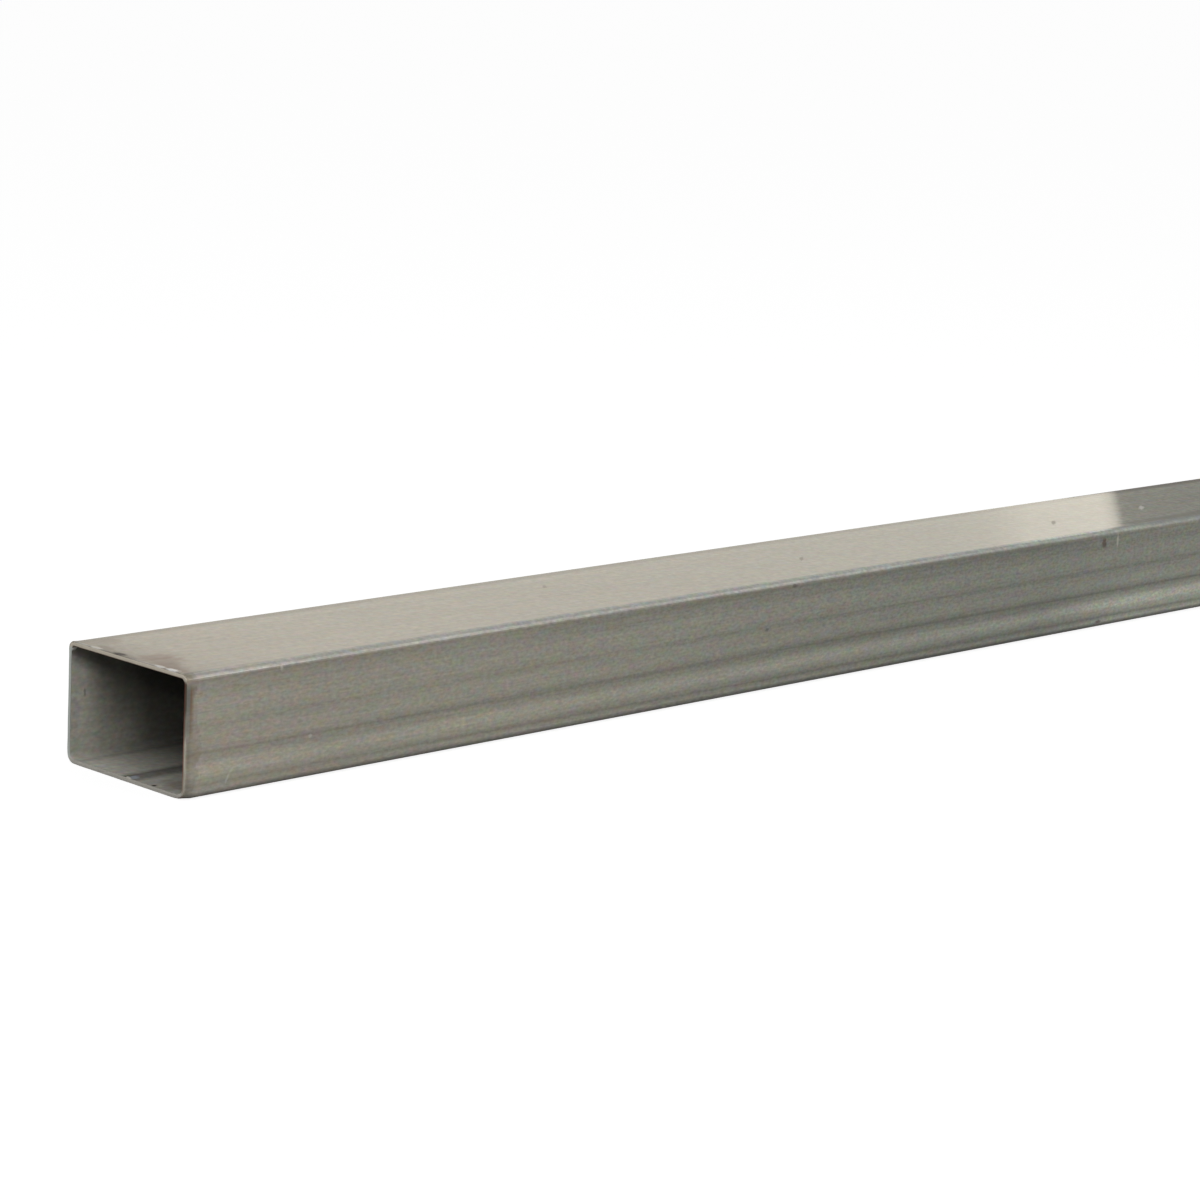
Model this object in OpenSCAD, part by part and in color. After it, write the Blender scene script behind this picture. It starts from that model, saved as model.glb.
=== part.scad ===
// Cold-formed rectangular steel tube with one longitudinal weld, sawn to length.
// It lies on one of its wide faces, along X. The origin is under its middle, on the floor.

/* [Section] */
// Width of the tube, across its wide faces
tube_w = 60; // [30:1:120]
// Height of the tube, across its narrow faces
tube_h = 40; // [20:1:80]
// Thickness of the wall
wall_t = 1.5; // [1:0.1:2.6]
// Outer radius that the rolls leave on the four long edges
corner_r = 3; // [2.8:0.1:8]

/* [Length] */
// Length between the two saw cuts
tube_l = 1000; // [100:10:6000]

/* [Weld seam] */
// Width of the bead that the weld leaves inside, on the bottom wall
bead_w = 3; // [2:0.1:5]
// Height of that bead above the inner face
bead_h = 0.5; // [0.2:0.05:1]
// Place of the weld across the bottom wall, from the middle, positive towards the back
seam_y = -2; // [-5:0.5:5]

/* [Hidden] */
$fn = 96;

// The bend keeps the wall's thickness, so its inner radius is one wall less.
inner_r = corner_r - wall_t;
bore_w = tube_w - 2 * wall_t;
bore_h = tube_h - 2 * wall_t;

// The bead's crown is a segment of this circle, and it is rooted halfway down the wall.
bead_r = (pow(bead_w / 2, 2) + pow(bead_h, 2)) / (2 * bead_h);
bead_root = wall_t / 2;

// Flat rectangle with four rounded corners, centred on the origin.
module rounded_rectangle(w, h, r) {
    square([w - 2 * r, h], center = true);
    square([w, h - 2 * r], center = true);
    for (x = [-1, 1], y = [-1, 1])
        translate([x * (w / 2 - r), y * (h / 2 - r)])
            circle(r);
}

// Low crown of upset weld metal, standing on the inner face of the bottom wall.
module weld_bead() {
    intersection() {
        translate([seam_y, wall_t + bead_h - bead_r])
            circle(bead_r);
        translate([seam_y - bead_w, bead_root])
            square([2 * bead_w, wall_t + bead_h]);
    }
}

// Cross-section: X runs across the tube, Y up from the floor.
module section() {
    translate([0, tube_h / 2])
        difference() {
            rounded_rectangle(tube_w, tube_h, corner_r);
            rounded_rectangle(bore_w, bore_h, inner_r);
        }
    weld_bead();
}

module tube() {
    color("#8f8c82")
        rotate([90, 0, 90])
            translate([0, 0, -tube_l / 2])
                linear_extrude(height = tube_l)
                    section();
}

tube();
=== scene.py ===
# %% [markdown]
# # A rectangular steel tube
# This lesson dresses one piece of bare steel stock: a cold-formed rectangular tube, 60 x 40 mm with a
# 1.5 mm wall, one metre long and sawn off at both ends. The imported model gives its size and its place.
# The real tube is a strip of cold-rolled steel that rolls have folded into a box and that is welded
# near the middle of one wide wall. That history gives the eye what it sees: rounded long edges, roll
# marks along the faces, a film of mill oil that shines at a low angle, a weld bead inside, and a sawn
# end with burrs and the first rust.

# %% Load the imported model
import math

import bpy
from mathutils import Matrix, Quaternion, Vector


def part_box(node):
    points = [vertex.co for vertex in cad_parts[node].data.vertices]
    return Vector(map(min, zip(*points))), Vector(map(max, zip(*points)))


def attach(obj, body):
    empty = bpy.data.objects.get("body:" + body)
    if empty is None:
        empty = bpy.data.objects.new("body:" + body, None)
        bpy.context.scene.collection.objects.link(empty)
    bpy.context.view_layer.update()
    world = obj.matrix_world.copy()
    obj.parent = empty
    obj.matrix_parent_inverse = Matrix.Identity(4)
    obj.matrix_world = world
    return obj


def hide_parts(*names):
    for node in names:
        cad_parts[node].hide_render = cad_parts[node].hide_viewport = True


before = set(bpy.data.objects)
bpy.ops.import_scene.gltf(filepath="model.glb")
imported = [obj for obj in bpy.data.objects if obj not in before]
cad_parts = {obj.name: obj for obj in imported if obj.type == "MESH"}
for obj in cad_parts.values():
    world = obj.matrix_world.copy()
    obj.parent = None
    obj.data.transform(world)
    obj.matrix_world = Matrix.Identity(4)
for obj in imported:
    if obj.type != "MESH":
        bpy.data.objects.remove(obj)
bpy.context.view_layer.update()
low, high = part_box("tube")
length, width, height = high - low
print("tube", [round(side * 1000, 2) for side in (length, width, height)], "mm")

# %% [markdown]
# ## Values that the whole lesson shares
# Blender works in metres, and a steel section is drawn in millimetres, so MM turns one into the other.
# The wall, the corner radius and the weld's place are those of the solid.

# %% Sizes of the section
MM = 0.001
WALL = 1.5 * MM
CORNER_RADIUS = 3 * MM
SEAM_Y = -2 * MM
BEAD_WIDTH = 3 * MM
BEAD_HEIGHT = 0.5 * MM

near_end = low.x
far_end = high.x
bore_floor = low.z + WALL
length_mm = length / MM
print("bore", round((width - 2 * WALL) / MM, 2), "x", round((height - 2 * WALL) / MM, 2), "mm")

# %% [markdown]
# ## The camera
# It comes first, because everything later is judged through it. A straight object with parallel edges
# can be solved like a drawing: the edges' vanishing points give the focal length and the angles. The
# photograph was taken from above the near end with a long lens, held a little crooked.

# %% Place the camera
CAMERA_FROM_NEAR_END = Vector((-0.65284, -0.83301, 0.27917))
CAMERA_HEADING = math.radians(43.949)
CAMERA_LOOKS_DOWN = math.radians(11.501)
CAMERA_ROLL = math.radians(2.891)
PHOTO_SIDE_PX = 1200
FOCAL_LENGTH_PX = 3443.7
SENSOR_WIDTH = 36.0
NEAREST_SEEN = 0.05
FARTHEST_SEEN = 100

camera_data = bpy.data.cameras.new("camera")
camera_data.sensor_width = SENSOR_WIDTH
camera_data.lens = FOCAL_LENGTH_PX / PHOTO_SIDE_PX * SENSOR_WIDTH
camera_data.clip_start = NEAREST_SEEN
camera_data.clip_end = FARTHEST_SEEN
camera = bpy.data.objects.new("camera", camera_data)
bpy.context.scene.collection.objects.link(camera)
bpy.context.scene.camera = camera

view_direction = Vector((
    math.cos(CAMERA_LOOKS_DOWN) * math.cos(CAMERA_HEADING),
    math.cos(CAMERA_LOOKS_DOWN) * math.sin(CAMERA_HEADING),
    -math.sin(CAMERA_LOOKS_DOWN),
))
camera.rotation_mode = "QUATERNION"
camera.location = Vector((near_end, 0, 0)) + CAMERA_FROM_NEAR_END
camera.rotation_quaternion = view_direction.to_track_quat("-Z", "Y") @ Quaternion((0, 0, 1), CAMERA_ROLL)
print("lens", round(camera_data.lens, 1), "mm")

# %% [markdown]
# ## The body of the tube
# In the mill the strip is folded, but a modeller gets there faster by carving: a block of the outer
# size, its four long edges rounded with a bevel, and a hole pushed through from end to end. Insetting
# the end faces by the wall thickness keeps the wall even round the corners, so the inner radius comes
# out one wall less than the outer one, as it does on a folded strip.

# %% Selecting by rule
def pick(thing, kind, test):
    """In edit mode, selects just the vertices, edges or faces that pass a test, and counts them."""
    bpy.ops.mesh.select_all(action="DESELECT")
    bpy.ops.mesh.select_mode(type=kind)
    bpy.ops.object.mode_set(mode="OBJECT")
    mesh = thing.data
    items = {"VERT": mesh.vertices, "EDGE": mesh.edges, "FACE": mesh.polygons}[kind]
    chosen = [item for item in items if test(item)]
    for item in chosen:
        item.select = True
    bpy.ops.object.mode_set(mode="EDIT")
    return len(chosen)

# %% Block with four rounded edges
CORNER_SEGMENTS = 10

bpy.ops.object.select_all(action="DESELECT")
bpy.ops.mesh.primitive_cube_add(size=1, location=(low + high) / 2, scale=(length, width, height))
tube = bpy.context.object
tube.name = "steel_tube"
bpy.ops.object.transform_apply(location=True, rotation=True, scale=True)


def runs_along_tube(edge):
    """True for an edge of the block that is parallel to X."""
    a, b = (tube.data.vertices[v].co for v in edge.vertices)
    return abs(a.x - b.x) > length / 2


bpy.ops.object.mode_set(mode="EDIT")
count = pick(tube, "EDGE", runs_along_tube)
bpy.ops.mesh.bevel(offset=CORNER_RADIUS, segments=CORNER_SEGMENTS, profile=0.5, clamp_overlap=False)
print("block:", count, "long edges rounded")

# %% [markdown]
# The saw leaves both ends a hair short of the nominal length, and its burrs stand out nearly to the
# full length. So the two end faces step back first, and only then is the bore opened between them.

# %% Open the bore
CUT_BACK = 0.2 * MM
# A face belongs to an end when its normal points this far along X.
ENDWAYS = 0.9

for outward in (-1, 1):
    pick(tube, "FACE", lambda face: face.normal.x * outward > ENDWAYS)
    bpy.ops.transform.translate(value=(-outward * CUT_BACK, 0, 0))
count = pick(tube, "FACE", lambda face: abs(face.normal.x) > ENDWAYS)
bpy.ops.mesh.inset(thickness=WALL, use_even_offset=True)
bpy.ops.mesh.bridge_edge_loops()
bpy.ops.mesh.select_all(action="SELECT")
bpy.ops.mesh.normals_make_consistent(inside=False)

cut_near = near_end + CUT_BACK
cut_far = far_end - CUT_BACK
print("bore opened between", count, "ends,", round((cut_far - cut_near) / MM, 1), "mm apart")

# %% [markdown]
# ## Rims
# Seen closely, a sawn rim is no knife edge. The burr is knocked off with a file, which leaves a small
# round edge outside and a smaller one inside. Both are bevels on the loops of edges round the rim.

# %% Where the rim's loops are
OUTER_BREAK = 0.45 * MM
INNER_BREAK = 0.2 * MM
SLACK = 0.02 * MM


def on_cut(co):
    """True for a point in the plane of either saw cut."""
    return min(abs(co.x - cut_near), abs(co.x - cut_far)) < SLACK


def outline_depth(co):
    """How far a point lies inside the outer outline of the section, measured square to the wall."""
    y = abs(co.y)
    z = abs(co.z - height / 2)
    corner_y = y - (width / 2 - CORNER_RADIUS)
    corner_z = z - (height / 2 - CORNER_RADIUS)
    if corner_y > 0 and corner_z > 0:
        return CORNER_RADIUS - math.hypot(corner_y, corner_z)
    return min(width / 2 - y, height / 2 - z)


def is_loop_at(edge, depth):
    """True for the edges of the rim's loop that lies this deep inside the outline."""
    ends = [tube.data.vertices[v].co for v in edge.vertices]
    return all(on_cut(co) and abs(outline_depth(co) - depth) < SLACK for co in ends)

# %% Break the rims' edges
for loop_depth, size, segments in ((0, OUTER_BREAK, 3), (WALL, INNER_BREAK, 2)):
    count = pick(tube, "EDGE", lambda edge: is_loop_at(edge, loop_depth))
    bpy.ops.mesh.bevel(offset=size, segments=segments, profile=0.5, clamp_overlap=False)
    print("rim", round(loop_depth / MM, 1), "mm inside the outline:", count, "edges bevelled")

# %% [markdown]
# ## Rings along the length
# A straight wall needs no more points than that, but the bead's ripples do, and a corner can only be
# pushed smoothly where there are points to share the move. Bisecting at planes across the tube gives
# rings, which stand close together near the two ends, where one can look in. Rows along the tube
# follow in the same way, closest on the bead.

# %% Rings and rows
RING_STEP = 20 * MM
FINE_RING_STEP = 2 * MM
FINE_REACH = 60 * MM
ROW_STEP = 3 * MM
ROWS_TO_EACH_SIDE = 8
ROWS_UP_AND_DOWN = 5
BEAD_ROWS = 10


def bisect(place, normal):
    """Cuts a loop of edges through the whole tube, in edit mode."""
    bpy.ops.mesh.select_all(action="SELECT")
    bpy.ops.mesh.bisect(plane_co=place, plane_no=normal)


ring_depth = FINE_RING_STEP
while ring_depth < length / 2:
    bisect((near_end + ring_depth, 0, 0), (1, 0, 0))
    bisect((far_end - ring_depth, 0, 0), (1, 0, 0))
    ring_depth += FINE_RING_STEP if ring_depth < FINE_REACH else RING_STEP

bead_margin = BEAD_WIDTH / 2 + 1 * MM
for i in range(-ROWS_TO_EACH_SIDE, ROWS_TO_EACH_SIDE + 1):
    if abs(i * ROW_STEP - SEAM_Y) > bead_margin:
        bisect((0, i * ROW_STEP, 0), (0, 1, 0))
for i in range(-ROWS_UP_AND_DOWN, ROWS_UP_AND_DOWN + 1):
    bisect((0, 0, height / 2 + i * ROW_STEP), (0, 0, 1))
for i in range(BEAD_ROWS + 1):
    bisect((0, SEAM_Y + BEAD_WIDTH * (i / BEAD_ROWS - 0.5), 0), (0, 1, 0))
tube.update_from_editmode()
print("rings and rows:", len(tube.data.vertices), "points")

# %% [markdown]
# ## The weld bead
# The edges of the strip are pressed together while they melt, and some steel squeezes out on both
# sides. The outer bead is planed off in the mill, the inner one stays: a low crown with small ripples.
# Its rows are lifted one by one, to the height of a circle segment.

# %% Lift the bead
bead_radius = ((BEAD_WIDTH / 2) ** 2 + BEAD_HEIGHT ** 2) / (2 * BEAD_HEIGHT)


def on_bore_floor(vertex, y):
    """True for a point of the bore's floor, or of its broken edge, on the row at this y."""
    co = vertex.co
    return bore_floor - INNER_BREAK - SLACK < co.z < bore_floor + SLACK and abs(co.y - y) < SLACK


bead_points = 0
for i in range(1, BEAD_ROWS):
    offset = BEAD_WIDTH * (i / BEAD_ROWS - 0.5)
    lift = BEAD_HEIGHT - bead_radius + math.sqrt(bead_radius ** 2 - offset ** 2)
    bead_points += pick(tube, "VERT", lambda vertex: on_bore_floor(vertex, SEAM_Y + offset))
    bpy.ops.transform.translate(value=(0, 0, lift))
print("bead:", bead_points, "points lifted")

# %% [markdown]
# The ripples come from a Displace modifier that only the bead's vertex group feels. A second one, very
# weak, works on the rims' edges: the file has left them uneven. Both are applied, so that the finished
# mesh holds what one sees.

# %% Displacing a chosen part
def select_only(thing):
    """Deselects everything and makes this object the only selected and active one."""
    bpy.ops.object.select_all(action="DESELECT")
    thing.select_set(True)
    bpy.context.view_layer.objects.active = thing


def displace(thing, name, test, size, strength, direction):
    """Moves the points that pass a test by a cloud texture of this size, and applies it."""
    select_only(thing)
    bpy.ops.object.mode_set(mode="EDIT")
    count = pick(thing, "VERT", test)
    bpy.ops.object.vertex_group_assign_new()
    bpy.ops.object.mode_set(mode="OBJECT")
    thing.vertex_groups[-1].name = name
    texture = bpy.data.textures.new(name, "CLOUDS")
    texture.noise_scale = size
    bpy.ops.object.modifier_add(type="DISPLACE")
    modifier = thing.modifiers[-1]
    modifier.texture = texture
    modifier.texture_coords = "LOCAL"
    modifier.direction = direction
    modifier.strength = strength
    modifier.vertex_group = name
    bpy.ops.object.modifier_apply(modifier=modifier.name)
    print("displaced:", name, count, "points")

# %% Ripple the bead, roughen the rims
RIPPLE = 0.18 * MM
RIPPLE_SIZE = 3 * MM
RIM_UNEVENNESS = 0.22 * MM
RIM_BUMP_SIZE = 1.6 * MM
# Near the seam, only the bead reaches into this height above the bore's floor.
BEAD_ZONE = 1 * MM


def is_bead(vertex):
    """True for the lifted points between the bead's two edges."""
    co = vertex.co
    return abs(co.y - SEAM_Y) < BEAD_WIDTH / 2 - SLACK and bore_floor < co.z < bore_floor + BEAD_ZONE


def is_rim(vertex):
    """True for the points of the broken outer edges."""
    co = vertex.co
    to_cut = min(co.x - cut_near, cut_far - co.x)
    return to_cut < OUTER_BREAK - SLACK and outline_depth(co) < OUTER_BREAK + SLACK


bpy.ops.object.mode_set(mode="OBJECT")
displace(tube, "bead", is_bead, RIPPLE_SIZE, RIPPLE, "Z")
displace(tube, "rim", is_rim, RIM_BUMP_SIZE, RIM_UNEVENNESS, "X")

# %% [markdown]
# Three corners of the near rim are not as the mill made them. The file has rounded both lower ones
# further, the one on the front side most, and at the upper one behind it has left a burr standing.
# The burr only fills the bend out: nothing may stand past the tube's own box.

# %% File two corners, leave a burr on a third
# Outer points this close to a corner's place are pushed in full.
PUSHED_ROUND = 0.8 * MM


def push_rim(centre, reach, push):
    """Moves the outer points round a place on the rim, and their neighbours less and less."""
    bpy.ops.object.mode_set(mode="EDIT")
    count = pick(tube, "VERT", lambda vertex: (vertex.co - centre).length < PUSHED_ROUND)
    bpy.ops.transform.translate(
        value=push,
        use_proportional_edit=True,
        proportional_edit_falloff="SMOOTH",
        proportional_size=reach,
    )
    bpy.ops.object.mode_set(mode="OBJECT")
    print("rim corner:", count, "points pushed")


corner_inset = CORNER_RADIUS * (1 - math.sqrt(0.5))
front_low = Vector((cut_near, low.y + corner_inset, low.z + corner_inset))
back_low = Vector((cut_near, high.y - corner_inset, low.z + corner_inset))
back_high = Vector((cut_near, high.y - corner_inset, high.z - corner_inset))
push_rim(front_low, 3.5 * MM, (0.2 * MM, 0.4 * MM, 0.45 * MM))
push_rim(back_low, 3 * MM, (0, -0.25 * MM, 0.12 * MM))
push_rim(back_high, 2 * MM, (0, 0.1 * MM, 0.2 * MM))
for vertex in tube.data.vertices:
    vertex.co.y = min(vertex.co.y, high.y)
    vertex.co.z = min(vertex.co.z, high.z)

# %% [markdown]
# ## Smooth shading
# Faces that meet at a small angle belong to one bend and are shaded as one, and sharper edges stay
# sharp. The narrow bevels would still pull the light across the wide walls. A Weighted Normal modifier
# stops that: at each point the largest face decides which way the surface looks.

# %% Shade the finished tube
SMOOTH_BELOW = math.radians(35)

bpy.ops.object.shade_smooth_by_angle(angle=SMOOTH_BELOW)
bpy.ops.object.modifier_add(type="WEIGHTED_NORMAL")
tube.modifiers[-1].keep_sharp = True
bpy.ops.object.modifier_apply(modifier=tube.modifiers[-1].name)
print("tube:", len(tube.data.polygons), "faces")

# %% [markdown]
# ## Small helpers for materials
# A colour is written as the hex value that a paint program shows, and the shader wants it linear.
# One helper adds any node: keyword settings go to the node itself, and the inputs are given in a
# dictionary, as a value, a hex colour, or the node or output socket that feeds them. A node that
# stands for itself feeds its first output that is in use.

# %% Colours and nodes
def linear(hex_colour):
    """The linear RGBA of an sRGB colour."""
    channels = [int(hex_colour[i:i + 2], 16) / 255 for i in (1, 3, 5)]
    curve = [c / 12.92 if c <= 0.04045 else ((c + 0.055) / 1.055) ** 2.4 for c in channels]
    return (*curve, 1.0)


def add(tree, kind, inputs=None, **settings):
    """Adds a node, sets its own settings, then fills its inputs with values, colours or links."""
    node = tree.nodes.new("ShaderNode" + kind)
    for name, value in settings.items():
        setattr(node, name, value)
    for name, value in (inputs or {}).items():
        if isinstance(value, bpy.types.Node):
            value = next(output for output in value.outputs if output.enabled)
        if isinstance(value, bpy.types.NodeSocket):
            tree.links.new(value, node.inputs[name])
        else:
            node.inputs[name].default_value = linear(value) if isinstance(value, str) else value
    return node


def new_material(name):
    """An empty material and its node tree."""
    material = bpy.data.materials.new(name)
    material.use_nodes = True
    material.node_tree.nodes.clear()
    return material, material.node_tree

# %% [markdown]
# Patterns need to know where on the tube they are. A Mapping node of the Texture type takes a place, a
# size and a turn, and gives coordinates in which the pattern is one unit large. Lengths are in
# millimetres, and X counts from the near end, so the numbers below can be checked with a ruler.

# %% Places
def place(tree, centre=(0, 0, 0), size=(1, 1, 1), turn=(0, 0, 0)):
    """Object coordinates as seen by a pattern of this size and turn, put down at centre."""
    return add(tree, "Mapping", {
        "Vector": add(tree, "TexCoord").outputs["Object"],
        "Location": (near_end + centre[0] * MM, centre[1] * MM, centre[2] * MM),
        "Rotation": turn,
        "Scale": [side * MM for side in size],
    }, vector_type="TEXTURE")


def axes_mm(tree):
    """X from the near end, Y across and Z up, all in millimetres."""
    parts = add(tree, "SeparateXYZ", {"Vector": place(tree)})
    return parts.outputs["X"], parts.outputs["Y"], parts.outputs["Z"]


def from_end(tree, x):
    """Distance to the nearer saw cut, in millimetres."""
    to_far_end = add(tree, "Math", {0: length_mm, 1: x}, operation="SUBTRACT")
    return add(tree, "Math", {0: x, 1: to_far_end}, operation="MINIMUM")

# %% [markdown]
# Most of what the rolls, the saw and the heat have done changes with one distance only: the height on
# a side, the place across the top, or the distance from the cut. A profile is such a change, written as
# pairs of a place and a level. Profiles are multiplied together, and they serve as masks through which
# one colour is painted over another. A Mix node goes from the value in its input 2 to that in 3, or from
# the colour in its input 6 to that in 7, as its factor, input 0, goes from 0 to 1.

# %% Profiles and paint
def multiply(tree, first, *others):
    """The product of any number of values."""
    for factor in others:
        first = add(tree, "Math", {0: first, 1: factor}, operation="MULTIPLY")
    return first


def profile(tree, value, stops):
    """A curve through (place, level) pairs, straight between them and flat outside."""
    start, end = stops[0][0], stops[-1][0]
    peak = max(level for _, level in stops)
    along = add(tree, "MapRange", {"Value": value, "From Min": start, "From Max": end})
    ramp = add(tree, "ValToRGB", {"Fac": along})
    elements = ramp.color_ramp.elements
    elements.remove(elements[1])
    for i, (at, level) in enumerate(stops):
        position = (at - start) / (end - start)
        element = elements[0] if i == 0 else elements.new(position)
        element.position = position
        element.color = (level / peak, level / peak, level / peak, 1)
    return multiply(tree, ramp, peak)


def paint(tree, colour, over, *masks):
    """Lays a second colour over a first one, as far as all the masks let it through."""
    return add(tree, "Mix", {0: multiply(tree, *masks), 6: colour, 7: over}, data_type="RGBA")

# %% [markdown]
# What has no rule is noise. A mottle makes a surface lighter and darker in blotches of a given size, a
# speckle does so for red, green and blue by themselves, and a sticker is one spot with a ragged edge,
# laid on where the real tube has a stain or a scratch.

# %% Noise and stickers
SPECKLE_SEED = 37
STICKER_SHARPNESS = 2.0
STICKER_RAGGED = 0.6


def wander(tree, noise, strength):
    """A factor round 1 that follows a noise up and down by strength."""
    swing = add(tree, "Math", {0: noise.outputs["Fac"], 1: 0.5}, operation="SUBTRACT")
    return add(tree, "Math", {0: swing, 1: 2 * strength, 2: 1.0}, operation="MULTIPLY_ADD")


def mottle(tree, size, strength, seed=0):
    """A factor round 1 that wanders by strength, in blotches of this size in millimetres."""
    noise = add(tree, "TexNoise", {
        "Vector": place(tree, (seed, 0, 0), size),
        "Scale": 1.0,
        "Detail": 2.0,
        "Roughness": 0.55,
    })
    return wander(tree, noise, strength)


def speckle(tree, colour, size, strength, gain=1.0):
    """A colour whose red, green and blue wander on their own, as fine grain does."""
    noise = add(tree, "TexNoise", {
        "Vector": place(tree, (SPECKLE_SEED, 0, 0), size),
        "Scale": 1.0,
        "Detail": 1.5,
    })
    swing = add(tree, "VectorMath", {0: noise.outputs["Color"], 1: (0.5, 0.5, 0.5)}, operation="SUBTRACT")
    swing = add(tree, "VectorMath", {0: swing, "Scale": gain}, operation="SCALE")
    twice = [2 * channel for channel in strength]
    factor = add(tree, "VectorMath", {0: swing, 1: twice, 2: (1, 1, 1)}, operation="MULTIPLY_ADD")
    return add(tree, "VectorMath", {0: colour, 1: factor}, operation="MULTIPLY")


def sticker(tree, centre, size, turn=(0, 0, 0)):
    """A mask that is 1 inside an ellipsoid of this half-size and fades to 0 at its ragged edge."""
    spot = place(tree, centre, size, turn)
    # The fourth coordinate of the noise gives each sticker an edge of its own.
    noise = add(tree, "TexNoise", {
        "Vector": spot,
        "W": sum(centre),
        "Scale": 1.7,
        "Detail": 1.0,
    }, noise_dimensions="4D")
    wobble = wander(tree, noise, STICKER_RAGGED)
    spot = add(tree, "VectorMath", {0: spot, "Scale": wobble}, operation="SCALE")
    ball = add(tree, "TexGradient", {"Vector": spot}, gradient_type="SPHERICAL")
    inside = {0: ball.outputs["Fac"], 1: STICKER_SHARPNESS}
    return add(tree, "Math", inside, operation="MULTIPLY", use_clamp=True)

# %% [markdown]
# ## Bare steel under mill oil
# The strip is cold-rolled, so its skin is smooth and grey, and it leaves the mill with a film of oil.
# Steel is a metal, metallic 1, and here a rather dull one. The oil film is the coat on top of it: seen
# from above it hardly shows, at a low angle it mirrors the room. The forming rolls have rubbed bands
# into the sides, from one end to the other; painted reflections lie in the same bands, and each bend
# carries a painted highlight with painted shade beside it.

# %% Roll marks and painted light
# Height in millimetres, lightness: roll marks and painted reflections, darkest low on the bottom bend.
# The same rolls have run over both sides.
SIDE_MARKS_AND_REFLECTIONS = (
    (0, 0.5), (1.3, 0.61), (2, 0.96), (2.6, 1.17), (3.5, 0.97), (4.5, 0.77), (5.5, 0.98), (6.5, 1.07),
    (8.5, 1.31), (10.5, 1.27), (12, 1.0), (14, 0.84), (14.6, 0.7), (15.6, 0.9), (17.5, 1.06),
    (20.5, 1.05), (22.5, 1.0), (24, 0.88), (25, 1.0), (27.5, 1.05), (30.5, 1.07), (33.5, 0.95),
    (35, 0.92), (36, 0.86), (37.5, 0.85), (40, 1.0),
)
# Place across the top in millimetres, lightness.
TOP_STREAKS = (
    (-30, 1.0), (-27, 1.05), (-24, 0.98), (-17, 1.01), (-9, 1.0), (-4, 0.97), (1, 1.02), (12, 1.0),
    (16, 1.0), (19, 1.08), (22, 1.02), (25, 0.68), (27, 0.76), (30, 0.8),
)
# Upward part of the surface's normal, lightness: painted shade beside each bend, a painted highlight on it.
BEND_PAINTED_LIGHT = (
    (0, 1.0), (0.12, 0.8), (0.29, 0.64), (0.45, 0.8), (0.57, 1.06), (0.64, 1.13), (0.74, 1.1),
    (0.8, 1.08), (0.86, 1.13), (0.92, 1.19), (0.97, 1.24), (0.99, 1.17), (1, 1.0),
)
# Distance from the near end in millimetres, lightness of the bend's painted highlight and of the painted
# reflection on its shoulder.
BEND_HIGHLIGHT_ALONG = (
    (0, 0.36), (2, 0.56), (5, 0.8), (9, 0.9), (40, 0.93), (80, 1.05), (150, 1.05), (220, 1.1),
    (300, 1.2), (380, 1.07), (430, 1.06), (500, 1.08), (1000, 1.1),
)
SHOULDER_REFLECTION_ALONG = (
    (0, 0.9), (12, 1.18), (60, 1.1), (150, 1.04), (390, 1.05), (405, 1.25), (440, 1.65), (472, 1.65),
    (484, 0.65), (620, 0.66), (1000, 1.0),
)
# Distance from the near end in millimetres, lightness of the sides, a painted light that falls off along
# the tube, and of the top.
SIDE_PAINTED_FALLOFF = (
    (0, 1.1), (55, 1.0), (115, 1.01), (200, 0.94), (300, 0.865), (400, 0.8), (440, 0.79), (490, 0.85),
    (600, 0.86), (1000, 0.8),
)
TOP_ALONG = ((0, 0.6), (5, 0.7), (10, 0.84), (20, 1.0), (55, 1.1), (200, 1.05), (1000, 1.05))
print("roll marks:", len(SIDE_MARKS_AND_REFLECTIONS), "stops up the sides,", len(TOP_STREAKS), "across the top")

# %% [markdown]
# A side and the top have their marks at different places, and each bend has a painted dark line and a
# painted highlight. The surface's normal says which of them a point is on: its upward part is 0 on a side
# and 1 on the top. Grain and fine streaks lie over all of it. The grain of rolled steel is finer than a
# tenth of a millimetre, too fine to show, so it is drawn one to two millimetres wide.

# %% Lightness of the rolled faces
def side_lightness(tree, x, z):
    """Roll marks and painted reflections up a side, with painted falloff along it. The bands stand out more,
    and the low ones are rubbed, further along.
    """
    marks_gain = profile(tree, x, ((0, 0.7), (60, 0.78), (200, 0.95), (300, 1.2), (420, 1.5)))
    # Painted reflections lie in the same bands as the roll marks, and painted light falls off along the
    # side.
    marks = profile(tree, z, SIDE_MARKS_AND_REFLECTIONS)
    side = add(tree, "Math", {0: marks, 1: marks_gain}, operation="POWER")
    side = multiply(tree, side, profile(tree, x, SIDE_PAINTED_FALLOFF))
    low_band = profile(tree, z, ((2, 1.0), (12, 0.8), (15, 0.3), (24, 0.0), (34, 0.0), (36.5, 0.5)))
    rubbed = multiply(tree, profile(tree, x, ((430, 0.0), (490, 0.4))), low_band)
    return multiply(tree, side, add(tree, "Math", {0: rubbed, 1: 1.0}, operation="ADD"))


def top_lightness(tree, x, y, normal_up):
    """Faint streaks along the top, which is darkest beside the cut."""
    flat = profile(tree, normal_up, ((0.95, 0.0), (1.0, 1.0)))
    along = add(tree, "Mix", {0: flat, 2: 1.0, 3: profile(tree, x, TOP_ALONG)})
    return multiply(tree, profile(tree, y, TOP_STREAKS), along)


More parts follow.
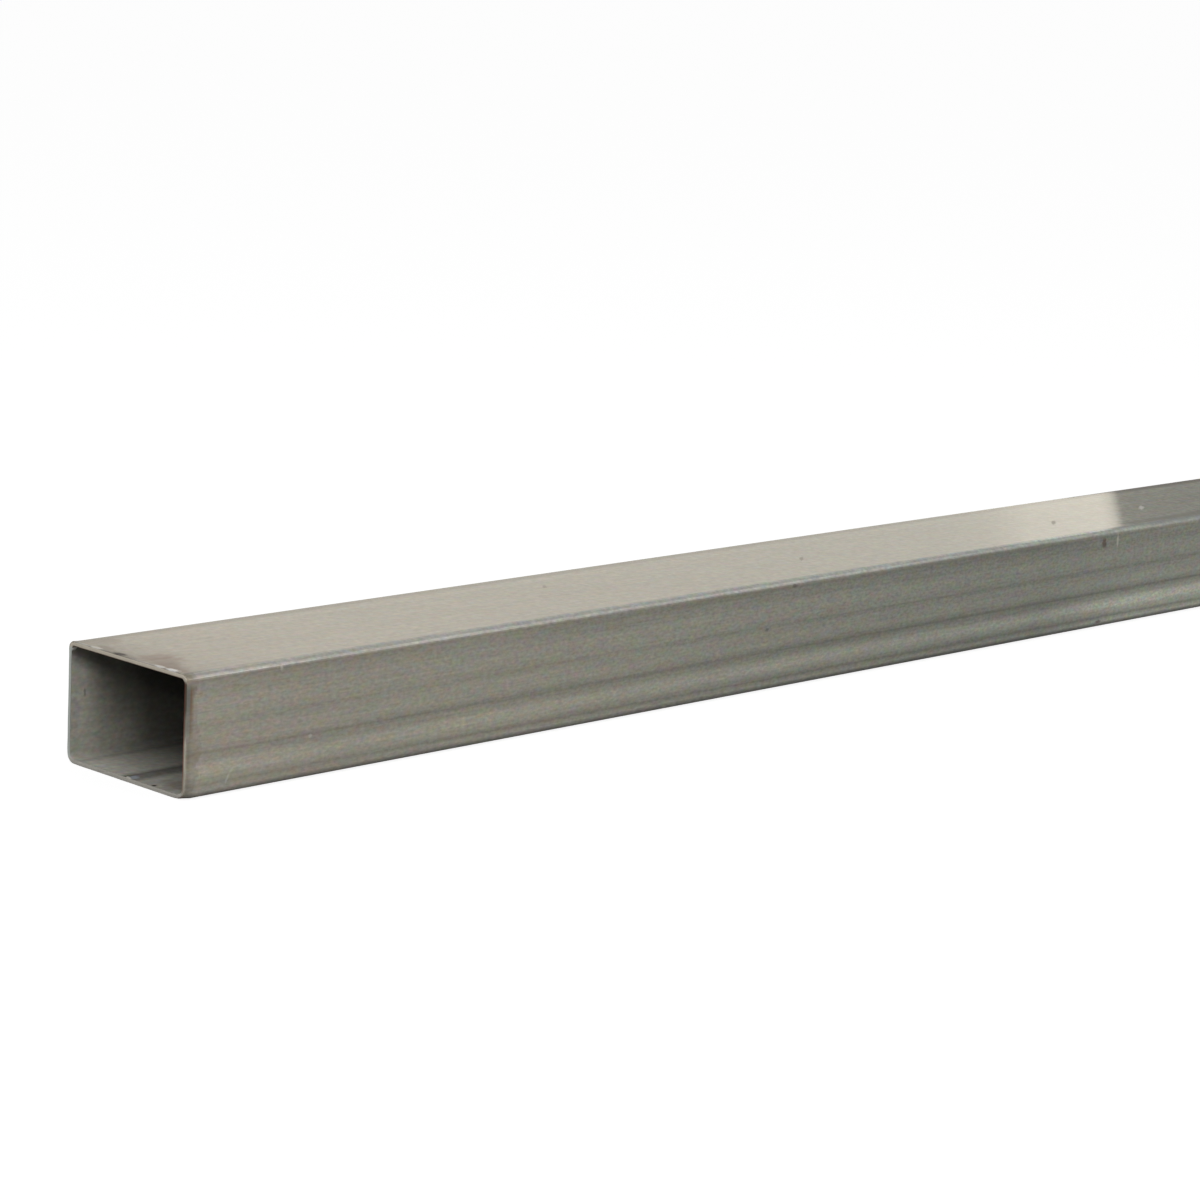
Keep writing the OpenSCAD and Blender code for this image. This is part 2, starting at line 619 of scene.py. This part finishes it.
def bend_painted_light(tree, x, normal_up):
    """The painted highlight along each bend, and the painted reflection on the shoulder beside the top."""
    # Painted light on the bends: a highlight, a dark line below it, and a reflection on the shoulder.
    on_line = profile(tree, normal_up, ((0.36, 0.0), (0.5, 1.0), (0.7, 1.0), (0.8, 0.0)))
    line = multiply(tree, profile(tree, x, BEND_HIGHLIGHT_ALONG), mottle(tree, (14, 40, 40), 0.14, seed=3))
    line = add(tree, "Mix", {0: on_line, 2: 1.0, 3: line})
    on_shoulder = profile(tree, normal_up, ((0.84, 0.0), (0.92, 1.0), (0.99, 1.0), (1.0, 0.0)))
    shoulder = add(tree, "Mix", {0: on_shoulder, 2: 1.0, 3: profile(tree, x, SHOULDER_REFLECTION_ALONG)})
    return multiply(tree, profile(tree, normal_up, BEND_PAINTED_LIGHT), line, shoulder)


def rolled_lightness(tree, x, y, z, normal_up):
    """How light the skin is, place by place, with its painted reflections and highlights."""
    on_top = profile(tree, normal_up, ((0.4, 0.0), (0.8, 1.0)))
    side = side_lightness(tree, x, z)
    faces = add(tree, "Mix", {0: on_top, 2: side, 3: top_lightness(tree, x, y, normal_up)})
    coarser = profile(tree, x, ((0, 1.0), (150, 1.15), (350, 1.35)))
    grain = mottle(tree, (1.8, 2.0, 0.9), 0.32)
    swing = add(tree, "Math", {0: grain, 1: 1.0}, operation="SUBTRACT")
    grain = add(tree, "Math", {0: swing, 1: coarser, 2: 1.0}, operation="MULTIPLY_ADD")
    streaks = mottle(tree, (55, 1.6, 0.8), 0.16)
    waves = mottle(tree, (60, 12, 9), 0.06)
    return multiply(tree, faces, bend_painted_light(tree, x, normal_up), grain, streaks, waves)

# %% [markdown]
# Steel is not quite grey. The skin is warm near the end, greener further on and cooler on the bends,
# and under the oil every few millimetres lean a little to red, green or blue.

# %% Colour of the skin
def skin_colour(tree, x, normal_up):
    """The steel's own colour, before any lightness or stain."""
    drift = profile(tree, x, ((0, 0.0), (100, 0.25), (300, 0.7), (420, 1.0)))
    on_bend = profile(tree, normal_up, ((0.1, 0.0), (0.4, 0.08), (0.95, 0.08), (1.0, 0.0)))
    steel = paint(tree, "#b0aca2", "#abaea6", drift)
    steel = paint(tree, steel, "#a8b1b6", on_bend)
    clouding = profile(tree, x, ((60, 0.7), (250, 2.2), (400, 2.8)))
    clouds = speckle(tree, steel, (6.5, 5, 2.8), (0.055, 0.055, 0.055), clouding)
    return speckle(tree, clouds, (3.4, 2.4, 1.5), (0.22, 0.17, 0.28))

# %% [markdown]
# ## What the saw and the weld have left on the skin, and the rim's painted reflection
# The saw runs wet and hot. Its coolant has stained the last few millimetres brown, unevenly. At the rim a
# painted reflection darkens the sides, blue-grey on their upper half and grey on the lower, with an ochre
# line next to it on the upper half. Underneath, a planed line marks the weld, blued on both sides, and the
# rims' lower edges have begun to rust.

# %% Tints
def tint_beside_cut(tree, colour, z, depth, normal_up):
    """The coolant's stain, the ochre line, and the painted reflection on the sides at the rim."""
    stain_edge = multiply(tree, mottle(tree, (4, 6, 6), 1.0, seed=11), 5)
    stained = add(tree, "Math", {0: depth, 1: stain_edge}, operation="LESS_THAN")
    colour = paint(tree, colour, "#8a7a6a", stained, 0.2)

    # Painted reflection of the broken edge: blue-grey on a side's upper half, grey on its lower half.
    upper = profile(tree, z, ((18, 0.0), (22, 0.6), (27, 0.7), (30, 1.0), (35, 1.0), (37.5, 0.0)))
    lower = profile(tree, z, ((2, 1.0), (17, 1.0), (20, 0.0)))
    blue = profile(tree, depth, ((0, 0.8), (1.4, 0.7), (1.9, 0.0)))
    ochre = profile(tree, depth, ((1.2, 0.0), (1.8, 0.8), (2.2, 0.6), (3.2, 0.0)))
    dark = profile(tree, depth, ((0.3, 0.0), (0.8, 0.3), (1.4, 0.3), (2.2, 0.17), (3.5, 0.09), (5.5, 0.0)))
    on_side = profile(tree, normal_up, ((0.05, 1.0), (0.3, 0.0)))
    for level, band, band_colour in (
        (upper, blue, "#696d6c"),
        (upper, ochre, "#7b5c3e"),
        (lower, dark, "#5f5a50"),
    ):
        colour = paint(tree, colour, band_colour, on_side, level, band)
    return colour


def tint_underside(tree, colour, y, depth, normal_up):
    """The weld's blued and planed line, and the rust on the rims' lower edges."""
    beneath = profile(tree, normal_up, ((-0.95, 1.0), (-0.8, 0.0)))
    blued = profile(tree, y, ((-9, 0.0), (-4.5, 0.75), (-3.6, 0.3), (-0.4, 0.3), (0.5, 0.75), (5, 0.0)))
    planed = profile(tree, y, ((-3.8, 0.0), (-3.4, 0.8), (-0.6, 0.8), (-0.2, 0.0)))
    colour = paint(tree, colour, "#5f6472", beneath, blued)
    colour = paint(tree, colour, "#d2d0ca", beneath, planed)
    facing_down = profile(tree, normal_up, ((-0.7, 1.0), (-0.25, 0.0)))
    at_rim = profile(tree, depth, ((0.4, 0.8), (0.9, 0.0)))
    return paint(tree, colour, "#6a3a2c", facing_down, at_rim)

# %% [markdown]
# ## Blemishes and painted glints
# Handling leaves spots that no rule gives, so each is a row of its own: a rusty haze at the cut, specks
# along the top, a scratch low on the side, and painted glints on two burrs and a filed edge. A blemish
# has its own colour, and where something has eaten or worn the oil film, less of its shine.

# %% Blemishes and painted glints of the skin
TOP_HEIGHT = 40
# Centre and half-size in millimetres, turn in degrees, colour, strength, loss of the oil film.
SKIN_STAINS_AND_GLINTS = (
    # Rusty haze behind the cut.
    ((8, -4.5, TOP_HEIGHT), (9, 5, 1), 0, "#6e3a22", 0.45, 0.14),
    ((7.5, -10, TOP_HEIGHT), (9, 5.5, 1), 0, "#6e3a22", 0.45, 0.14),
    ((4.2, -16.5, TOP_HEIGHT), (4.8, 6, 1), 0, "#663a26", 0.54, 0.22),
    ((2.9, -23, TOP_HEIGHT), (2.8, 5.5, 1), 0, "#6b4a3a", 0.55, 0.25),
    ((10, 22, TOP_HEIGHT), (6, 5, 1), 0, "#7d6a5c", 0.4, 0.1),
    # The cut's upper edge: worn, filed and stained places, and a black mark.
    ((1.0, 2.5, TOP_HEIGHT), (2.8, 7, 1), 0, "#7a7468", 0.5, 0.3),
    ((0.5, 23, TOP_HEIGHT), (0.9, 4, 1), 0, "#d0d0c8", 0.5, 0.0),
    ((0.5, -8.5, TOP_HEIGHT), (0.9, 5, 1), 0, "#c8c4bc", 0.5, 0.0),
    ((0.8, -29, 39.2), (3, 2, 1.6), 0, "#8a8064", 0.5, 0.1),
    ((1.3, 10, TOP_HEIGHT), (1.8, 5, 1), 0, "#7a7468", 0.5, 0.2),
    ((1.4, 5.0, TOP_HEIGHT), (1.4, 3.6, 1), 0, "#241814", 1.0, 0.75),
    ((3.4, 15, TOP_HEIGHT), (2, 5, 1), 0, "#7a6a5a", 0.4, 0.3),
    # Painted highlights: glints drawn on two burrs and on a filed edge.
    ((1.0, -15.4, TOP_HEIGHT), (1.2, 3.0, 1), 0, "#f0f2f2", 0.72, 0.0),
    ((1.3, -21.3, TOP_HEIGHT), (1.5, 3.3, 1), 0, "#fafcff", 0.85, 0.0),
    ((0.9, 16.5, TOP_HEIGHT), (1.0, 3.5, 1), 0, "#e6e6e0", 0.7, 0.0),
    # Specks along the top, and dull patches far along it.
    ((193, 10, TOP_HEIGHT), (3.6, 0.9, 1), 45, "#5a544c", 0.55, 0.25),
    ((315, -4, TOP_HEIGHT), (4.4, 1.0, 1), 41, "#5a544c", 0.65, 0.3),
    ((467, -7, TOP_HEIGHT), (5.6, 1.2, 1), 36, "#4c443c", 0.8, 0.4),
    ((531, -4.5, TOP_HEIGHT), (6, 1.3, 1), 35, "#ffffff", 0.75, 0.0),
    ((620, 25.5, TOP_HEIGHT), (110, 4.5, 1), 0, "#7a7872", 0.45, 0.0),
    ((545, -26, TOP_HEIGHT), (60, 6, 2.5), 0, "#85877f", 0.55, 0.0),
    # Specks and marks on the front side and its bends.
    ((50.7, -30, 13.9), (1.0, 1, 0.8), 0, "#e8eae8", 0.32, 0.0),
    ((38, -29.8, 37.6), (0.7, 1.2, 1.0), 0, "#e8eae8", 0.3, 0.0),
    ((268, -30, 23), (1.2, 1, 0.7), 0, "#4c4a46", 0.5, 0.0),
    ((282, -30, 37.8), (1.7, 1, 0.9), 0, "#4c4a46", 0.6, 0.0),
    ((471, -30, 34.8), (1.9, 1, 2.4), 0, "#5c3e32", 0.65, 0.3),
    ((480, -30, 35), (0.8, 1, 3.2), 0, "#d8d6cc", 0.6, 0.0),
    ((471, -30, 2.6), (2.4, 1, 0.8), 0, "#6e4a3a", 0.6, 0.2),
    ((3.2, -30, 35), (1.2, 1, 1.6), 0, "#6c645a", 0.35, 0.1),
    # A scratch, in two strokes.
    ((16.9, -30, 5), (0.55, 1, 1.9), 25, "#e4e8ee", 0.3, 0.0),
    ((18.6, -30, 7.6), (0.5, 1, 1.5), 42, "#e4e8ee", 0.2, 0.0),
)
print("skin:", len(SKIN_STAINS_AND_GLINTS), "blemishes")


def add_stains_and_glints(tree, colour, film):
    """Lays every blemish and painted glint on the colour and wears the film under it. On the top they turn
    about Z.
    """
    for centre, size, turn, spot_colour, strength, loss in SKIN_STAINS_AND_GLINTS:
        angle = math.radians(turn)
        turns = (0, 0, angle) if centre[2] == TOP_HEIGHT else (0, angle, 0)
        spot = sticker(tree, centre, size, turns)
        colour = paint(tree, colour, spot_colour, spot, strength)
        if loss:
            kept = add(tree, "Math", {0: spot, 1: -loss, 2: 1.0}, operation="MULTIPLY_ADD")
            film = multiply(tree, film, kept)
    return colour, film

# %% [markdown]
# ## The finished skin
# The parts meet in one shader. The steel is metallic and rather rough, because rolled steel scatters
# what it mirrors. The coat over it is the oil: nearly a full one, very smooth, thinner beside the cut.

# %% Steel skin
OIL_COVER = 0.93


def steel_skin():
    """Cold-rolled steel strip, folded by rolls and oiled: dull metal under a clear film."""
    material, tree = new_material("oiled_cold_rolled_steel")
    x, y, z = axes_mm(tree)
    depth = from_end(tree, x)
    normal = add(tree, "TexCoord").outputs["Normal"]
    normal_up = add(tree, "SeparateXYZ", {"Vector": normal}).outputs["Z"]

    lightness = rolled_lightness(tree, x, y, z, normal_up)
    colour = skin_colour(tree, x, normal_up)
    colour = add(tree, "HueSaturation", {"Color": colour, "Value": lightness})
    colour = tint_beside_cut(tree, colour, z, depth, normal_up)
    colour = tint_underside(tree, colour, y, depth, normal_up)
    film = profile(tree, depth, ((0, 0.9), (5, 0.93), (9, 0.97), (14, 1.0)))
    colour, film = add_stains_and_glints(tree, colour, film)
    unevenness = mottle(tree, (10, 2.2, 2.2), 0.12, seed=5)
    shader = add(tree, "BsdfPrincipled", {
        "Base Color": colour,
        "Metallic": 1.0,
        "Roughness": 0.42,
        "Coat Weight": multiply(tree, OIL_COVER, film, unevenness),
        "Coat Roughness": 0.03,
    })
    add(tree, "OutputMaterial", {"Surface": shader})
    return material

# %% [markdown]
# ## The bore
# Inside, the strip has kept its dry, dull grey: nothing has rubbed it. Light reaches it only through
# the open ends, and the shade that this gives is painted in as well: darker further in and towards the top,
# under the top wall's painted shadow. Along the weld the heat has turned the steel dark and a little blue.

# %% Bore
# Place across the bore's floor in millimetres, lightness.
BORE_FLOOR_STREAKS = (
    (-28, 0.85), (-22, 0.74), (-18, 0.84), (-15, 0.82), (-12, 0.74), (-9, 0.82), (-7, 0.78),
    (-4.5, 0.48), (-3, 0.37), (0, 0.31), (1.5, 0.6), (3.5, 0.93), (15, 1.02), (20.5, 1.02), (22, 0.94),
    (24, 0.74), (25.5, 0.9), (27, 0.92),
)
# Centre and half-size in millimetres, colour, strength.
BORE_STAINS_AND_GLINTS = (
    # A black spot on the floor, and a brown one on the far wall.
    ((1.2, -13.7, 1.5), (1.3, 0.9, 1), "#2a2622", 1.0),
    ((5.8, 28.5, 22.5), (0.6, 1, 1.9), "#4a3a34", 0.4),
    # A stain on the floor, a painted glint on the bead's end, and a painted highlight on the inner corner at
    # the mouth.
    ((9, -19, 1.5), (8, 8, 1), "#6b5a4e", 0.5),
    ((1.5, -3, 1.8), (2.5, 1.2, 1), "#a4abb4", 0.8),
    ((0, 28.3, 38.2), (2.4, 1.6, 2.0), "#e8e8e2", 0.95),
)


def wall_painted_shade(tree, z, depth):
    """The bore's side walls, with painted shade: darker towards the top, and more so further in."""
    streaks = profile(tree, z, ((2, 1.0), (3.5, 0.95), (6, 1.0)))
    shade = profile(tree, z, ((2, 1.6), (7, 1.4), (10, 1.27), (16, 1.0), (22, 0.7), (28, 0.47)))
    growth = profile(tree, depth, ((6, 0.0), (12, 0.3), (22, 1.0), (33, 1.3)))
    shade = add(tree, "Math", {0: shade, 1: growth}, operation="POWER")
    lit_rim = profile(tree, depth, ((2, 1.0), (5, 1.16), (9, 1.12), (13, 1.0), (25, 1.0), (33, 0.72)))
    # The top wall's shadow slants down over the side walls as one looks further in.
    slant = add(tree, "Math", {0: depth, 1: 0.45, 2: z}, operation="MULTIPLY_ADD")
    shadow = profile(tree, slant, ((32, 1.0), (34, 0.74), (35.2, 0.58), (36.4, 0.34), (38, 0.25)))
    fading = profile(tree, depth, ((12, 1.0), (20, 0.3)))
    shadow = add(tree, "Math", {0: shadow, 1: fading}, operation="POWER")
    return multiply(tree, streaks, shade, lit_rim, shadow)


def floor_lightness(tree, y, depth):
    """The bore's floor, with the heat band along the bead."""
    deeper = profile(tree, depth, ((15, 1.0), (22, 1.2), (33, 1.4)))
    return multiply(tree, profile(tree, y, BORE_FLOOR_STREAKS), deeper)

# %% Bore steel
def bore_steel():
    """The strip's inner face: dull, dry, with the weld's dark heat band along the floor and painted shade
    further in.
    """
    material, tree = new_material("dull_bore_steel")
    x, y, z = axes_mm(tree)
    depth = from_end(tree, x)
    on_floor = profile(tree, z, ((2.4, 1.0), (3.2, 0.0)))
    walls = wall_painted_shade(tree, z, depth)
    faces = add(tree, "Mix", {0: on_floor, 2: walls, 3: floor_lightness(tree, y, depth)})
    # Painted shade: the whole bore grows darker further in.
    dimming = profile(tree, depth, ((3, 1.0), (12, 0.82), (22, 0.6), (33, 0.45), (60, 0.34)))
    grain = mottle(tree, (2, 2, 1.2), 0.3)
    streaks = mottle(tree, (40, 2.5, 2.5), 0.15)
    lightness = multiply(tree, faces, dimming, grain, streaks)
    steel = speckle(tree, linear("#bfbdb3")[:3], (2.8, 2.4, 1.8), (0.22, 0.16, 0.28))
    colour = add(tree, "HueSaturation", {"Color": steel, "Value": lightness})
    for centre, size, spot_colour, strength in BORE_STAINS_AND_GLINTS:
        colour = paint(tree, colour, spot_colour, sticker(tree, centre, size), strength)
    shader = add(tree, "BsdfPrincipled", {
        "Base Color": colour,
        "Metallic": 0.3,
        "Roughness": 0.7,
    })
    add(tree, "OutputMaterial", {"Surface": shader})
    return material

# %% [markdown]
# ## The saw cut
# The teeth leave torn metal, brighter than the skin. Their marks are finer than can show, so they are
# drawn nearly a millimetre wide. Rust starts at the inner edge of the two walls that face up and
# forward, and the front wall's upper half is dull from the saw's heat.

# %% Cut
def cut_lightness(tree, z, front):
    """Torn metal, lighter and darker with the teeth, and worn brighter low on the front wall."""
    teeth = multiply(tree, mottle(tree, (0.6, 0.9, 0.9), 0.07), mottle(tree, (6, 6, 6), 0.12))
    worn = profile(tree, z, ((8, 1.0), (11, 1.14), (19, 1.14), (22, 1.0), (26, 0.88), (31, 0.88), (34, 1.0)))
    return multiply(tree, teeth, add(tree, "Mix", {0: front, 2: 1.0, 3: worn}))


def sawn_steel():
    """The wall's cut section: bright torn metal, rusty along its inner edge."""
    material, tree = new_material("sawn_steel")
    _, y, z = axes_mm(tree)
    above = profile(tree, z, ((37.8, 0.0), (38.3, 1.0)))
    below = profile(tree, z, ((1.7, 1.0), (2.2, 0.0)))
    front = profile(tree, y, ((-28.3, 1.0), (-27.8, 0.0)))
    upper = profile(tree, z, ((18, 0.0), (21, 0.5), (26, 0.6), (29, 1.0)))
    colour = paint(tree, "#c4cbca", "#c4c1b6", front)
    colour = paint(tree, colour, "#d3cdc2", above)
    colour = paint(tree, colour, "#c9c8c4", below)
    colour = add(tree, "HueSaturation", {"Color": colour, "Value": cut_lightness(tree, z, front)})
    below_bend = profile(tree, z, ((37, 1.0), (38.2, 0.0)))
    colour = paint(tree, colour, "#6c645a", front, upper, below_bend)

    top_rust = profile(tree, z, ((38.4, 1.0), (38.6, 0.75), (38.85, 0.0)))
    inside = profile(tree, y, ((-28.2, 0.0), (-27, 1.0), (27, 1.0), (28.4, 0.0)))
    colour = paint(tree, colour, "#5c2f22", above, inside, top_rust)
    front_rust = profile(tree, y, ((-29.5, 0.0), (-28.95, 0.65), (-28.5, 1.0)))
    middle = profile(tree, z, ((2, 0.0), (3.5, 0.5), (10, 1.0), (37, 1.0), (38, 0.0)))
    front_colour = paint(tree, "#7a3628", "#5c2f22", upper)
    colour = paint(tree, colour, front_colour, front, middle, front_rust)
    shader = add(tree, "BsdfPrincipled", {
        "Base Color": colour,
        "Metallic": 1.0,
        "Roughness": 0.5,
    })
    add(tree, "OutputMaterial", {"Surface": shader})
    return material

# %% [markdown]
# ## Each face gets its material
# The tube's own faces say which is which: what lies a whole wall deep is the bore, what lies between
# the two broken edges of a rim is sawn, and all the rest is skin.

# %% Assign
for material in (steel_skin(), bore_steel(), sawn_steel()):
    tube.data.materials.append(material)


def is_cut(face):
    """True for the flat of a saw cut and its inner broken edge."""
    to_cut = min(face.center.x - cut_near, cut_far - face.center.x)
    return to_cut < INNER_BREAK and outline_depth(face.center) > OUTER_BREAK / 2


def is_bore(face):
    """True for the faces of the inner walls, the bead among them."""
    above_floor = face.center.z - bore_floor
    on_bead = abs(face.center.y - SEAM_Y) < BEAD_WIDTH / 2 and 0 < above_floor < BEAD_ZONE
    return not is_cut(face) and (outline_depth(face.center) > WALL - SLACK or on_bead)


bpy.ops.object.mode_set(mode="EDIT")
for index, test in ((1, is_bore), (2, is_cut)):
    count = pick(tube, "FACE", test)
    tube.active_material_index = index
    bpy.ops.object.material_slot_assign()
    print(tube.data.materials[index].name, count, "faces")
bpy.ops.object.mode_set(mode="OBJECT")

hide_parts("tube")
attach(tube, "root")

# %% [markdown]
# ## Room and light
# Bare metal looks like what it mirrors, so the room matters as much as the steel. It is white for the
# camera. What the steel mirrors is a pale room with a warm wall, an open dark doorway and a bright
# frame beside it.

# %% World
WHITE = "#ffffff"
ROOM_PEAK = 1.3
CEILING_LEVEL = 0.6
FILL_LEVEL = 0.5
# The doorway's edge leans: so many degrees of azimuth for each degree of elevation above LEAN_FROM.
LEAN = 0.31
LEAN_FROM = 9.45
# Azimuth in degrees from the tube's direction, level: the doorway ends at a bright frame.
WALL_LEVELS = (
    (20, 0.75), (24, 0.16), (35.35, 0.16), (35.5, 1.21), (36.9, 1.1), (37.6, 0.85), (38.5, 0.75),
    (41, 0.73), (48, 0.76), (60, 0.75),
)


def mirrored_room(tree):
    """What the steel mirrors: the wall's levels round the tube, and the ceiling above them."""
    direction = add(tree, "TexCoord").outputs["Generated"]
    axes = add(tree, "SeparateXYZ", {"Vector": direction})
    azimuth = add(tree, "Math", {0: axes.outputs["Y"], 1: axes.outputs["X"]}, operation="ARCTAN2")
    azimuth = add(tree, "Math", {0: azimuth}, operation="DEGREES")
    elevation = add(tree, "Math", {0: axes.outputs["Z"]}, operation="ARCSINE")
    elevation = add(tree, "Math", {0: elevation}, operation="DEGREES")
    above = add(tree, "Math", {0: elevation, 1: LEAN_FROM}, operation="SUBTRACT")
    azimuth = add(tree, "Math", {0: above, 1: LEAN, 2: azimuth}, operation="MULTIPLY_ADD")

    wall_part = profile(tree, elevation, ((16, 1.0), (22, 0.0)))
    wall_level = profile(tree, azimuth, WALL_LEVELS)
    wall_level = add(tree, "Math", {0: wall_level, 1: ROOM_PEAK}, operation="DIVIDE")
    wall = add(tree, "HueSaturation", {"Color": "#fff6e6", "Value": wall_level})
    ceiling = add(tree, "HueSaturation", {"Color": WHITE, "Value": CEILING_LEVEL / ROOM_PEAK})
    return add(tree, "Background", {
        "Color": paint(tree, ceiling, wall, wall_part),
        "Strength": ROOM_PEAK,
    })


def room():
    """White for the camera, and for reflections a studio with a warm wall and a dark doorway."""
    world = bpy.data.worlds.new("room")
    world.use_nodes = True
    bpy.context.scene.world = world
    tree = world.node_tree
    tree.nodes.clear()
    path = add(tree, "LightPath")
    studio = mirrored_room(tree)
    white = add(tree, "Background", {"Color": WHITE, "Strength": 1.0})
    fill = add(tree, "Background", {"Color": WHITE, "Strength": FILL_LEVEL})
    glossy, through = path.outputs["Is Glossy Ray"], path.outputs["Is Transmission Ray"]
    mirrored = add(tree, "Math", {0: glossy, 1: through}, operation="MAXIMUM")
    lit = add(tree, "MixShader", {0: mirrored, 1: fill, 2: studio})
    shown = add(tree, "MixShader", {0: path.outputs["Is Camera Ray"], 1: lit, 2: white})
    add(tree, "OutputWorld", {"Surface": shown})
    print(world.name, len(tree.nodes), "nodes")


room()

# %% [markdown]
# The floor is a wide sheet of matt paper just under the tube. It reflects light onto the tube as grey
# paper does, and glows for the camera alone, so that only the soft shadow shows on it.

# %% Floor
FLOOR_SIDE = 60
FLOOR_GAP = 0.1 * MM
FLOOR_GLOW = 0.88


def floor_finish():
    """Matt grey paper that looks white to the camera, so that it meets the white room unseen."""
    material, tree = new_material("pale_paper_floor")
    path = add(tree, "LightPath")
    paper = add(tree, "BsdfDiffuse", {"Color": "#cbcac6"})
    pale = add(tree, "BsdfDiffuse", {"Color": "#7c7c7c"})
    glow = add(tree, "Emission", {"Color": WHITE, "Strength": FLOOR_GLOW})
    seen = add(tree, "AddShader", {0: pale, 1: glow})
    both = add(tree, "MixShader", {0: path.outputs["Is Camera Ray"], 1: paper, 2: seen})
    add(tree, "OutputMaterial", {"Surface": both})
    return material


bpy.ops.object.select_all(action="DESELECT")
bpy.ops.mesh.primitive_plane_add(size=FLOOR_SIDE, location=(0, 0, low.z - FLOOR_GAP))
floor = bpy.context.object
floor.name = "floor"
floor.data.materials.append(floor_finish())
print("floor:", FLOOR_SIDE, "m wide")

# %% [markdown]
# Two softboxes light the tube. A square lamp spreads its power over its own face, so its energy is
# worked out from how bright that face should look. The first lights the front side, from the right,
# and the second looks into the open end.

# %% Softboxes
SOFTBOX_SIDE = 0.9
FRONT_PLACE = (0.54, -1.33, 1.45)
FRONT_AIM = (-0.3, 0, 0)
FRONT_RADIANCE = 1.8
MOUTH_PLACE = (near_end - 0.75, -0.55, 1.2)
MOUTH_AIM = (near_end, 0, 0.02)
MOUTH_RADIANCE = 3.2


def softbox(name, place_at, aim_at, radiance):
    """A square lamp that aims at a point; radiance is how bright it looks."""
    lamp_data = bpy.data.lights.new(name, "AREA")
    lamp_data.shape = "SQUARE"
    lamp_data.size = SOFTBOX_SIDE
    lamp_data.energy = radiance * math.pi * SOFTBOX_SIDE ** 2
    lamp = bpy.data.objects.new(name, lamp_data)
    lamp.location = place_at
    lamp.rotation_mode = "QUATERNION"
    lamp.rotation_quaternion = (Vector(aim_at) - Vector(place_at)).to_track_quat("-Z", "Y")
    bpy.context.scene.collection.objects.link(lamp)
    print(name, round(lamp_data.energy, 2), "W")


softbox("front_softbox", FRONT_PLACE, FRONT_AIM, FRONT_RADIANCE)
softbox("mouth_softbox", MOUTH_PLACE, MOUTH_AIM, MOUTH_RADIANCE)

# %% [markdown]
# ## Finish
# The colours are shown as they are written.

# %% Finish
bpy.context.scene.view_settings.view_transform = "Standard"
